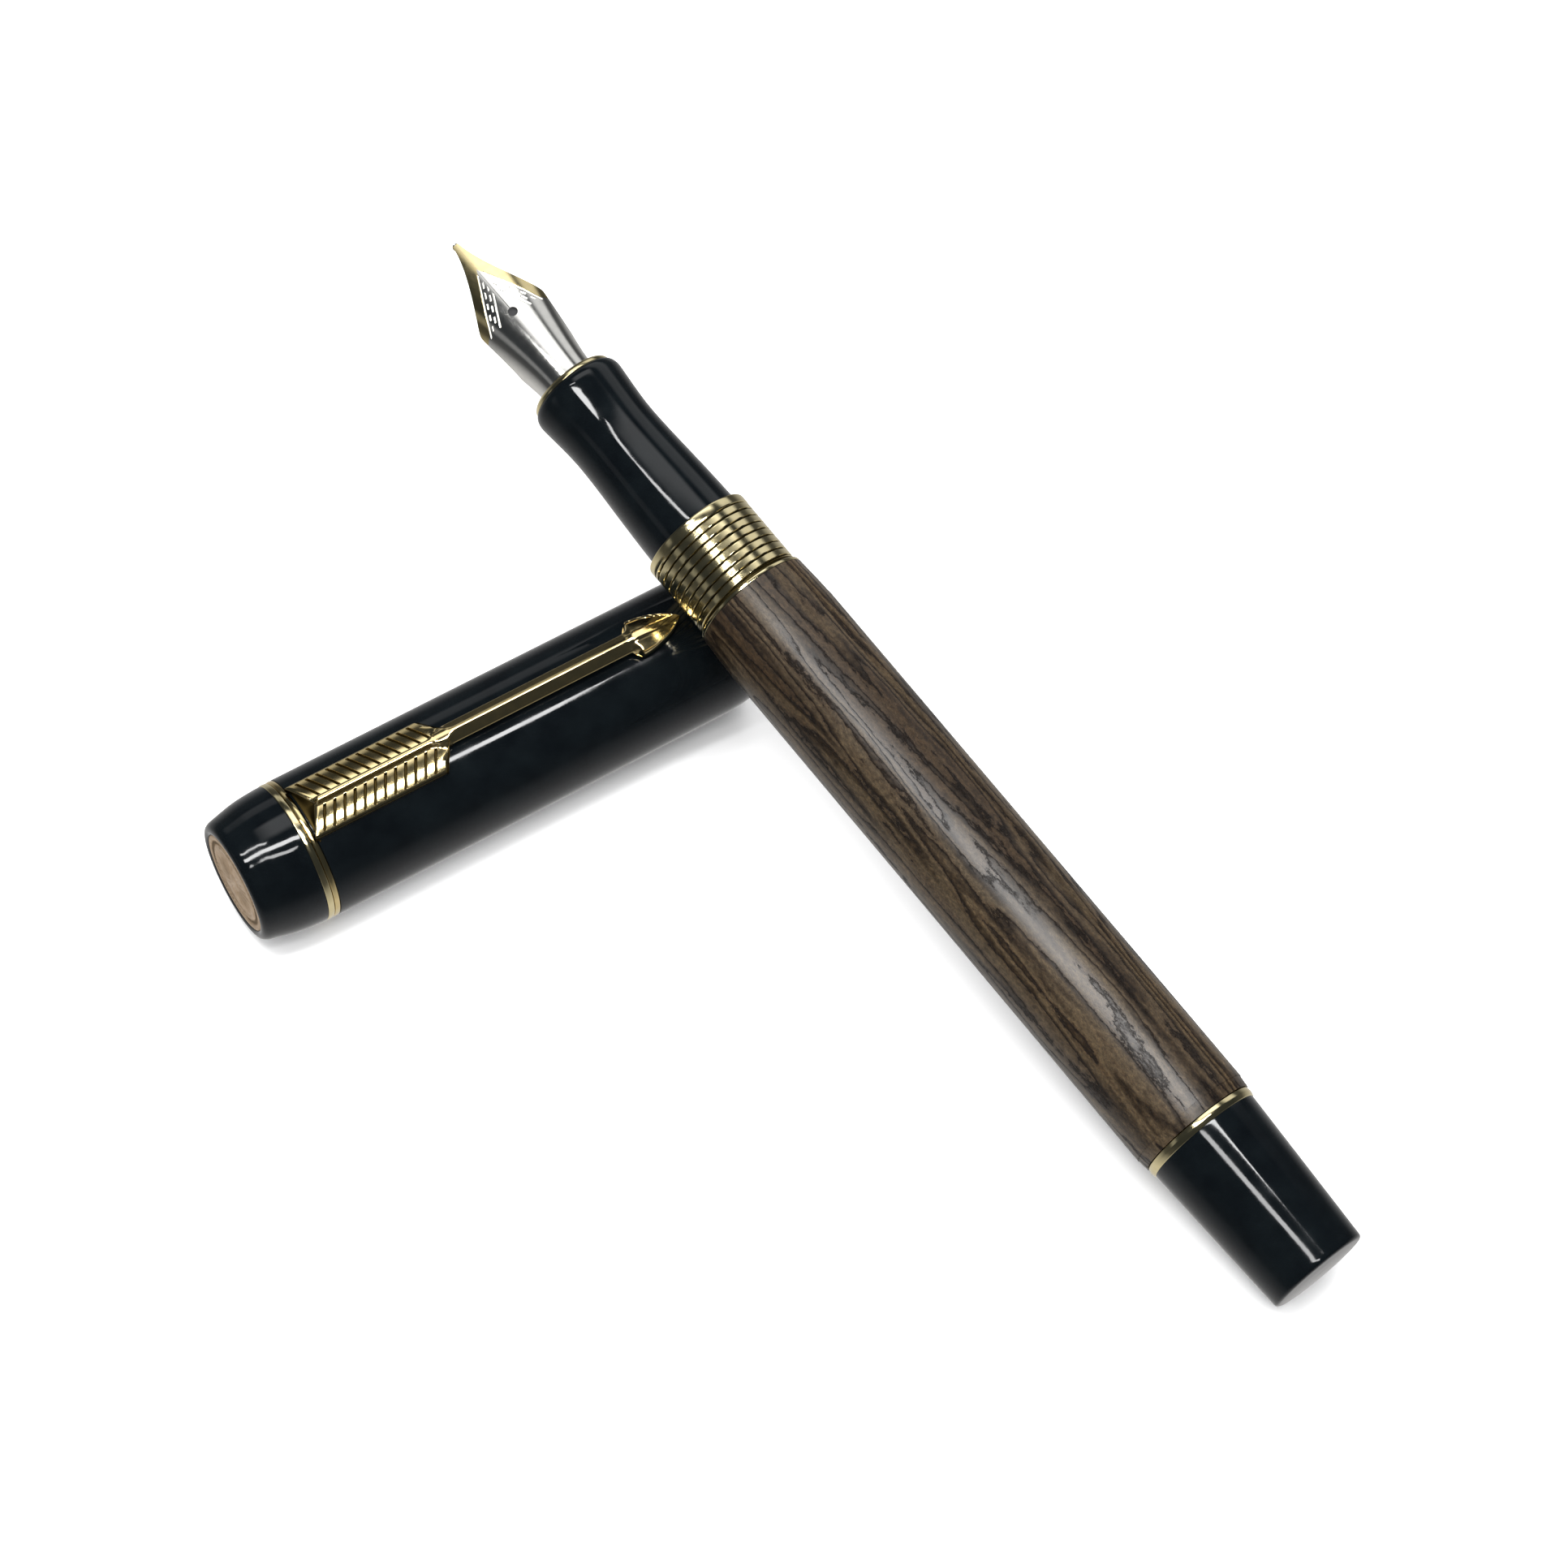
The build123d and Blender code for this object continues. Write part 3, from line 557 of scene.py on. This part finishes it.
def clip_bottom(row, y):
    """Height of the clip's lower face above the cap's axis."""
    under_panel = sqrt(7.36 ** 2 - y * y)
    share = smooth_step(PANEL_END - 0.5, PANEL_END + 0.8, row)
    lift = smooth_step(HEAD_START - 1, HEAD_START + 1, row)
    foot = max(0.0, 1 - ((row - 46.6) / 1.6) ** 2 - (y / 0.9) ** 2)
    return under_panel * (1 - share) + 7.95 * share - 0.25 * lift - 0.36 * sqrt(foot)


def clip_arm():
    rows = list(np.linspace(7.92, 9.7, 22)) + rib_rows()
    rows += [RIB_START + RIBS * RIB_PITCH, 23.4, 23.7, PANEL_END, SHANK_START]
    rows += list(np.arange(24.1, 27.2, 0.15)) + list(np.arange(27.4, 43.3, 0.6))
    rows += list(np.arange(43.3, 49.3, 0.06)) + list(np.linspace(49.3, CLIP_TIP - 0.002, 14))
    half = [0, 0.04, 0.08, 0.12, 0.14, 0.16, 0.17, 0.185, 0.2, 0.215, 0.23, 0.25, 0.28, 0.32]
    half += [0.37, 0.42, 0.47, 0.52, 0.57, 0.62, 0.67, 0.72, 0.77, 0.81, 0.84, 0.87, 0.89]
    half += [0.905, 0.915, 0.93, 0.945, 0.96, 0.975, 0.99, 1]
    columns = [-v for v in reversed(half[1:])] + half

    def surface(height_at):
        def point(row, v):
            y = v * clip_half_width(row)
            return (height_at(row, y), y, clip_station(row, y))
        return point

    def recess(x, y, s):
        """The gaps between the ribs and the sunk foot by the clip ring, which the metal darkens
        as painted shade.
        """
        depth = sqrt(PANEL_R ** 2 - min(abs(y), PANEL_HALF_WIDTH) ** 2) - x
        return smooth_step(0.05, 0.15, depth) if s < PANEL_END else 0.0

    arm = plate("clip_arm_arm", rows, columns, surface(clip_top), surface(clip_bottom),
                lambda i, j: True, CAP, "clip", "clip_arm", GOLD, sharp=26)
    measure(arm, "recess", recess)


# The barrel

def barrel():
    """The wooden tube, its gold lip, the tail ring and the end cap."""
    outer = smooth_line([(6.08, 16.52), (6.16, 17.4), (6.22, 18.7), (6.24, 20.2), (6.24, 48),
                         (6.24, 76), (6.21, 78.5), (6.13, 80.8), (6.0, 83.02)])
    lathe("barrel_wood", outer + [(5.32, 83.05), (5.32, 16.52)], PEN, "barrel",
          "barrel_sleeve", WOOD, segments=256)
    lip = rounded([(4.96, 83.07, 0), (5.99, 83.07, 0.04), (5.99, 83.38, 0.12),
                   (5.8, 83.47, 0.05), (4.96, 83.47, 0)])
    lathe("barrel_lip", lip, PEN, "barrel", "barrel_lip_ring", PALE_GOLD,
          segments=256)
    ring = rounded([(3.64, 15.5, 0), (5.95, 15.5, 0.12), (6.06, 15.99, 0.5),
                    (5.97, 16.48, 0.1), (3.64, 16.48, 0)])
    lathe("tail_ring_band", ring, PEN, "barrel", "tail_ring", PALE_GOLD,
          segments=256)
    tail = smooth_line([(0.02, -1.19), (2.4, -1.15), (4.0, -1.08), (4.7, -1.03),
                        (4.95, -0.96), (5.09, -0.83), (5.155, -0.6), (5.2, 0.4), (5.4, 4.8),
                        (5.62, 9.8), (5.85, 15.0), (5.84, 15.42)])
    lathe("end_cap_body", tail + [(2.05, 15.44), (2.05, 6.5), (0.02, 6.5)], PEN, "barrel",
          "end_cap", RESIN, segments=256)


# The section

def grip():
    """The waisted grip and the gold ring at its nib end."""
    waist = smooth_line([(5.0, 91.97), (5.03, 92.1), (4.97, 94.2), (4.87, 96.6), (4.75, 99),
                         (4.63, 101.3), (4.55, 103.6), (4.56, 105.3), (4.66, 106.9),
                         (4.80, 108.5), (4.9, 109.6), (4.91, 110.1), (4.83, 110.5),
                         (4.7, 110.78), (4.53, 110.94)])
    bore = [(3.5, 110.95), (3.5, 109.5), (3.92, 109.5), (3.92, 98.92), (4.22, 98.92),
            (4.22, 91.97)]
    lathe("grip_body", waist + bore, PEN, "section", "grip_section", RESIN,
          segments=256)
    trim = rounded([(3.52, 110.99, 0), (4.5, 110.99, 0.05), (4.44, 111.3, 0.15),
                    (4.2, 111.58, 0.1), (3.78, 111.58, 0.1), (3.52, 111.3, 0.05)])
    lathe("section_trim", trim, PEN, "section", "section_trim_ring", PALE_GOLD,
          segments=192)


def thread_collar():
    """A gold collar with a plain band and eight flat-topped turns of helical thread."""
    start, end, turns = 83.8, 90.7, 8
    pitch = (end - start) / turns
    crest, root = 5.74, 5.5
    outline = [(4.54, 91.88), (5.6, 91.88), (5.69, 91.84), (5.735, 91.76), (5.745, 91.68),
               (5.745, 91.0), (5.73, 90.92)]
    outline += [(crest, s) for s in np.linspace(90.88, 83.6, turns * 22)]
    outline += [(5.5, 83.52), (4.54, 83.52)]

    def helix(r, s, angle):
        if r != crest:
            return r, s
        phase = ((s - start) / pitch - angle / (2 * pi)) % 1
        gap = min(phase, 1 - phase)
        depth = 1 - smooth_step(0.02, 0.14, gap)
        fade = smooth_step(90.95, 90.75, s)
        cut = max(depth * fade, smooth_step(83.9, 83.65, s))
        return root + (crest - root) * (1 - cut) - 0.02, s

    collar = lathe("thread_collar_body", outline, PEN, "section", "cap_thread_collar",
                   PALE_GOLD, segments=256, shape=helix, sharp=26)
    # Marks the roots of the thread, which the metal darkens as painted shade.
    measure(collar, "recess", lambda x, y, s: smooth_step(5.69, 5.58, sqrt(x * x + y * y)))


# The nib

NIB_TAIL_R, NIB_FRONT_R, NIB_FRONT_CROWN = 2.95, 8.0, 1.32
GRIP_FRONT, NIB_ROOT_WIDTH, NIB_WIDTH, NIB_THICKNESS = 111.6, 2.98, 3.83, 0.26
FLARE_START, SHOULDER, NIB_END, PEN_LENGTH = 112.0, 120.4, 129.72, 130.0
BREATHER, BREATHER_R, SLIT_SHARE = 120.3, 0.5, 0.008
NIB_WRAP = radians(122)
TINE_EDGE = smooth_line([(NIB_WIDTH, SHOULDER), (3.81, 120.9), (3.6, 121.4), (3.02, 122.5),
                         (2.26, 124.0), (1.58, 125.5), (0.99, 127.0), (0.54, 128.5),
                         (0.3, NIB_END)])
TINE_WIDTHS, TINE_STATIONS = zip(*TINE_EDGE)


def nib_arch(s):
    """Radius and centre height of the nib's arched section."""
    share = max(0.0, (s - FLARE_START) / (PEN_LENGTH - FLARE_START))
    radius = NIB_TAIL_R + (NIB_FRONT_R - NIB_TAIL_R) * share ** 1.5
    return radius, NIB_TAIL_R - (NIB_TAIL_R - NIB_FRONT_CROWN) * share ** 1.6 - radius


def nib_half_width(s):
    """Half the width of the nib: a slow flare up to the shoulders, then the tines' line."""
    if s < SHOULDER:
        share = max(0.0, (s - GRIP_FRONT) / (SHOULDER - GRIP_FRONT))
        return NIB_ROOT_WIDTH + (NIB_WIDTH - NIB_ROOT_WIDTH) * share
    return float(np.interp(s, TINE_STATIONS, TINE_WIDTHS))


def nib_reach(s):
    """Half the angle that the nib wraps round the feed."""
    radius = nib_arch(s)[0]
    front = asin(min(0.999, nib_half_width(s) / radius))
    return NIB_WRAP + (front - NIB_WRAP) * smooth_step(110.5, 116.0, s)


BORDER_APEX, BORDER_FOOT, BORDER_SLOPE = 126.2, 119.9, 0.5
BORDER_WIDTH, LINE_WIDTH, DASH_PITCH, ENGRAVED_DEPTH = 1.15, 0.08, 1.0, 0.06


def border_distance(s, y):
    """Distance from the outer line of the border towards the middle of the nib."""
    return ((BORDER_APEX - s) * BORDER_SLOPE - abs(y)) / sqrt(1 + BORDER_SLOPE ** 2)


def groove(distance):
    """Depth across an engraved line, from 1 in its middle to 0 at its edge."""
    return max(0.0, 1 - (distance / LINE_WIDTH) ** 2)


def engraving(s, y):
    """Depth of the engraved border: two lines with two staggered rows of dashes between."""
    if s < BORDER_FOOT or abs(y) < 0.3:
        return 0.0
    inward = border_distance(s, y)
    depth = max(groove(inward), groove(inward - BORDER_WIDTH))
    for row, place in enumerate((0.36, 0.78)):
        dash = ((s + 0.5 * row * DASH_PITCH) / DASH_PITCH) % 1
        if 0.12 < dash < 0.66 and s > BORDER_FOOT + 0.3:
            depth = max(depth, groove(inward - place))
    return depth


def gold_share(s, y):
    """Gold outside the border's outer line and ahead of the shoulders, silver within."""
    outside = -border_distance(max(s, BORDER_FOOT + 0.4), y)
    if s < BORDER_FOOT + 0.4:
        outside -= (BORDER_FOOT + 0.4 - s) * 1.4
    return 0.5 + max(-0.5, min(0.5, outside * 3))


def nib():
    """The sheet of the nib, with its slit, its breather hole and its engraved border."""
    rows = list(np.linspace(103.0, 111.5, 12)) + list(np.arange(111.8, 119.6, 0.15))
    rows += list(np.arange(119.7, 129.0, 0.04))
    rows += list(np.linspace(129.0, NIB_END, 16))
    side = list(np.linspace(0, 1, 90) ** 0.92)
    columns = [-v for v in reversed(side)] + side
    middle = len(side) - 1

    def point(s, v, inset):
        radius, centre = nib_arch(s)
        turn = nib_reach(s) * v
        x = centre + (radius - inset) * cos(turn)
        y = (radius - inset) * sin(turn)
        return x, y

    def round_hole(s, y):
        """Moves the points near the breather hole's edge onto its circle."""
        away = sqrt((s - BREATHER) ** 2 + y * y)
        if 1e-6 < away < BREATHER_R * 1.12:
            scale = BREATHER_R / away if away > BREATHER_R * 0.8 else 1
            return BREATHER + (s - BREATHER) * scale, y * scale
        return s, y

    def upper(s, v):
        x, y = point(s, v, 0.0)
        cut = engraving(s, y)
        if cut:
            x, y = point(s, v, ENGRAVED_DEPTH * cut)
        station, across = round_hole(s, y)
        return (x, across, station)

    def lower(s, v):
        x, y = point(s, v, NIB_THICKNESS)
        station, across = round_hole(s, y)
        return (x, across, station)

    def keep(i, j):
        s = (rows[i] + rows[i + 1]) / 2
        v = (columns[j] + columns[j + 1]) / 2
        y = point(s, v, 0.0)[1]
        if j == middle and s > BREATHER:
            return False
        return sqrt((s - BREATHER) ** 2 + y * y) > BREATHER_R * 0.98

    columns[middle] = -SLIT_SHARE
    columns[middle + 1] = SLIT_SHARE
    piece = plate("nib_sheet", rows, columns, upper, lower, keep, PEN, "nib_unit", "nib",
                  NIB, sharp=50)
    measure(piece, "gold_share", lambda x, y, s: gold_share(s, y))
    measure(piece, "etched", lambda x, y, s: engraving(s, y))


def build():
    cap_shell()
    crown()
    medallion()
    gold_rings()
    inner_cap()
    clip_arm()
    barrel()
    grip()
    thread_collar()
    nib()


def dress_cad_nodes():
    """Materials for the CAD nodes that stay, which read the same local millimetres."""
    slots = {row["node"]: row["material_slot"] for row in frame["record"]["subparts"]}
    for name, node in frame["nodes"].items():
        place = CAP if node.parent and node.parent.name in ("body:cap", "body:clip") else PEN
        back = np.array(place.inverted())
        mesh = node.data
        points = np.zeros(len(mesh.vertices) * 3, np.float32)
        mesh.vertices.foreach_get("co", points)
        points = points.reshape(-1, 3) @ back[:3, :3].T + back[:3, 3]
        local = mesh.attributes.new("local", "FLOAT_VECTOR", "POINT")
        local.data.foreach_set("vector", points.astype(np.float32).ravel())
        material = SLOT_MATERIALS[slots[name]]
        if len(node.material_slots) == 0:
            mesh.materials.append(material)
        for slot in node.material_slots:
            slot.material = material


# Stage, light and camera

FLOOR_HALF = 3.0


def floor():
    mesh = bpy.data.meshes.new("floor")
    corners = [(-1, -1), (1, -1), (1, 1), (-1, 1)]
    mesh.from_pydata([(FLOOR_HALF * x, FLOOR_HALF * y, 0) for x, y in corners], [],
                     [(0, 1, 2, 3)])
    nodes = Nodes("floor")
    nodes.set(base_color=(0.9, 0.9, 0.9), roughness=0.9)
    mesh.materials.append(nodes.material)
    ground = bpy.data.objects.new("floor", mesh)
    bpy.context.scene.collection.objects.link(ground)
    ground.visible_glossy = False


def softbox(name, place, size, radiance, turn=0.0, target=None, feather=0.0, glossy=True):
    """A rectangular lamp of a given brightness, facing down or towards a point. Its
    brightness can fade towards its edges over a share of its width."""
    light = bpy.data.lights.new(name, "AREA")
    light.shape = "RECTANGLE"
    light.size, light.size_y = size
    light.energy = radiance * pi * size[0] * size[1]
    if feather:
        fade_edges(light, feather)
    lamp = bpy.data.objects.new(name, light)
    lamp.location = place
    if target:
        aim = Vector(target) - Vector(place)
        lamp.rotation_euler = aim.to_track_quat("-Z", "Y").to_euler()
    else:
        lamp.rotation_euler = (0, 0, radians(turn))
    lamp.visible_glossy = glossy
    bpy.context.scene.collection.objects.link(lamp)


def fade_edges(light, feather):
    """Fades a lamp smoothly to nothing over a share of its width at each edge."""
    light.use_nodes = True
    tree = light.node_tree
    across = tree.nodes.new("ShaderNodeSeparateXYZ")
    tree.links.new(tree.nodes.new("ShaderNodeNewGeometry").outputs["Parametric"],
                   across.inputs[0])
    strength = None
    for axis in "XY":
        for low, high in ((0, feather), (1, 1 - feather)):
            fade = tree.nodes.new("ShaderNodeMapRange")
            fade.interpolation_type = "SMOOTHSTEP"
            tree.links.new(across.outputs[axis], fade.inputs["Value"])
            fade.inputs["From Min"].default_value = low
            fade.inputs["From Max"].default_value = high
            product = tree.nodes.new("ShaderNodeMath")
            product.operation = "MULTIPLY"
            product.inputs[0].default_value = 1.0
            if strength:
                tree.links.new(strength, product.inputs[0])
            tree.links.new(fade.outputs["Result"], product.inputs[1])
            strength = product.outputs[0]
    tree.links.new(strength, tree.nodes["Emission"].inputs["Strength"])


CAMERA_EYE = Vector((-0.12548, -0.20759, 0.44612))
CAMERA_AZIMUTH, CAMERA_ELEVATION, CAMERA_ROLL = radians(-33.38), radians(59.804), radians(2.106)
CAMERA_LENS, CAMERA_SENSOR = 120.29, 36


def camera():
    azimuth, elevation, roll = CAMERA_AZIMUTH, CAMERA_ELEVATION, CAMERA_ROLL
    back = Vector((sin(azimuth) * cos(elevation), -cos(azimuth) * cos(elevation),
                   sin(elevation)))
    right = Vector((cos(azimuth), sin(azimuth), 0))
    up = back.cross(right)
    rolled = right * cos(roll) + up * sin(roll)
    top = up * cos(roll) - right * sin(roll)
    turn = Matrix((rolled, top, back)).transposed().to_4x4()
    data = bpy.data.cameras.new("camera")
    data.sensor_width = CAMERA_SENSOR
    data.lens = CAMERA_LENS
    data.clip_start = 0.01
    eye = bpy.data.objects.new("camera", data)
    eye.matrix_world = Matrix.Translation(CAMERA_EYE) @ turn
    bpy.context.scene.collection.objects.link(eye)
    bpy.context.scene.camera = eye


def light():
    """A dim studio, paler below the horizon, with soft lamps above and round the pen."""
    world = bpy.data.worlds.new("studio")
    world.use_nodes = True
    tree = world.node_tree
    direction = tree.nodes.new("ShaderNodeTexCoord")
    split = tree.nodes.new("ShaderNodeSeparateXYZ")
    height = tree.nodes.new("ShaderNodeMapRange")
    height.inputs["From Min"].default_value = -1
    ramp = tree.nodes.new("ShaderNodeValToRGB")
    tree.links.new(direction.outputs["Generated"], split.inputs[0])
    tree.links.new(split.outputs["Z"], height.inputs["Value"])
    tree.links.new(height.outputs["Result"], ramp.inputs[0])
    tree.links.new(ramp.outputs["Color"], tree.nodes["Background"].inputs["Color"])
    elements = ramp.color_ramp.elements
    elements.new(0.5)
    elements.new(0.5)
    levels = [(0.12, (0.62, 0.61, 0.6)), (0.32, (0.3, 0.3, 0.3)), (0.44, (0.07, 0.07, 0.07)),
              (0.65, (0.03, 0.033, 0.036))]
    for element, (position, color) in zip(elements, levels):
        element.position = position
        element.color = (*color, 1)
    bpy.context.scene.world = world
    softbox("long_strip", (-0.036, -0.045, 0.6), (0.415, 0.06), 26, turn=-15)
    softbox("short_strip", (-0.09, -0.18, 0.6), (0.24, 0.05), 16, turn=-25)
    softbox("left_strip", (-0.165, 0.118, 0.6), (0.16, 0.03), 22, turn=-28)
    softbox("panel", (0.16, 0.29, 0.6), (0.66, 0.42), 1.6, feather=0.25)
    softbox("side", (0.75, 0.55, 0.45), (1.3, 0.7), 0.7, target=(0, 0, 0), feather=0.3)
    softbox("back", (0.2, 0.95, 0.4), (1.1, 0.4), 0.45, target=(0, 0, 0), feather=0.3)
    softbox("rim", (-0.9, 0.25, 0.32), (0.6, 0.3), 0.2, target=(0, 0, 0), feather=0.3)
    softbox("overhead", (0, 0, 1.0), (3.0, 3.0), 2.2, glossy=False)


build()
dress_cad_nodes()
floor()
light()
camera()
bpy.context.scene.view_settings.view_transform = "Standard"
